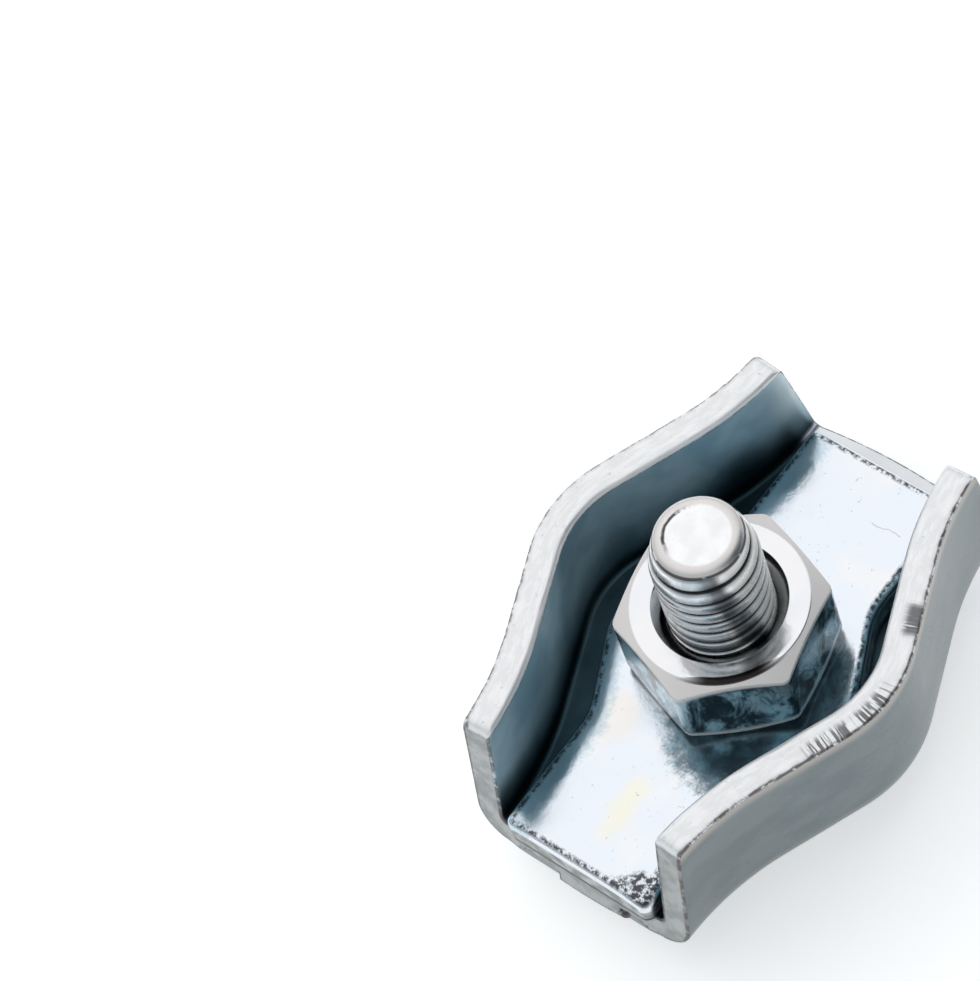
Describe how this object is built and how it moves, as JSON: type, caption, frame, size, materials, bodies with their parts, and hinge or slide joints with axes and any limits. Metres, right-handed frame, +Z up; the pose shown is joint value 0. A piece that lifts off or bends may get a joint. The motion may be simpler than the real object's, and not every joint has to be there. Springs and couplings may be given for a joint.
{
  "type": "wire rope clip",
  "caption": "Zinc-plated single-bolt wire rope clip: bulged sheet channel, loose clamp plate that lifts as the nut turns, square-neck bolt and hexagon nut.",
  "frame": {"origin": "on the bolt's axis, at the underside of the bolt head, which is the lowest point of the part", "axes": "+X along the ropes, +Y across them, +Z up the bolt towards its tip"},
  "size_m": [0.0292, 0.0218, 0.0184],
  "materials": {
    "channel_zinc": "bright zinc plating on pressed sheet steel, with sheared edges",
    "plate_zinc": "bright zinc plating on pressed sheet steel, faintly yellowed in patches",
    "bolt_zinc": "bright zinc plating on a rolled thread",
    "nut_zinc": "bright zinc plating on a turned face and drawn flats"
  },
  "bodies": {
    "base": {"channel_body": "channel_zinc", "bolt": "bolt_zinc"},
    "plate": {"clamp_plate": "plate_zinc"},
    "nut": {"hex_nut": "nut_zinc"}
  },
  "joints": [
    {"name": "plate_lift", "type": "slide", "parent": "base", "child": "plate", "axis": [0, 0, 1], "range_m": [-0.00006, 0.00605]},
    {"name": "nut_turn", "type": "hinge", "parent": "plate", "child": "nut", "pos_m": [0, 0, 0.0088], "axis": [0, 0, 1], "range_deg": [-18, 2160]}
  ],
  "couplings": [
    {"joint": "plate_lift", "follows": "nut_turn", "m_per_rad": 0.00015915}
  ]
}
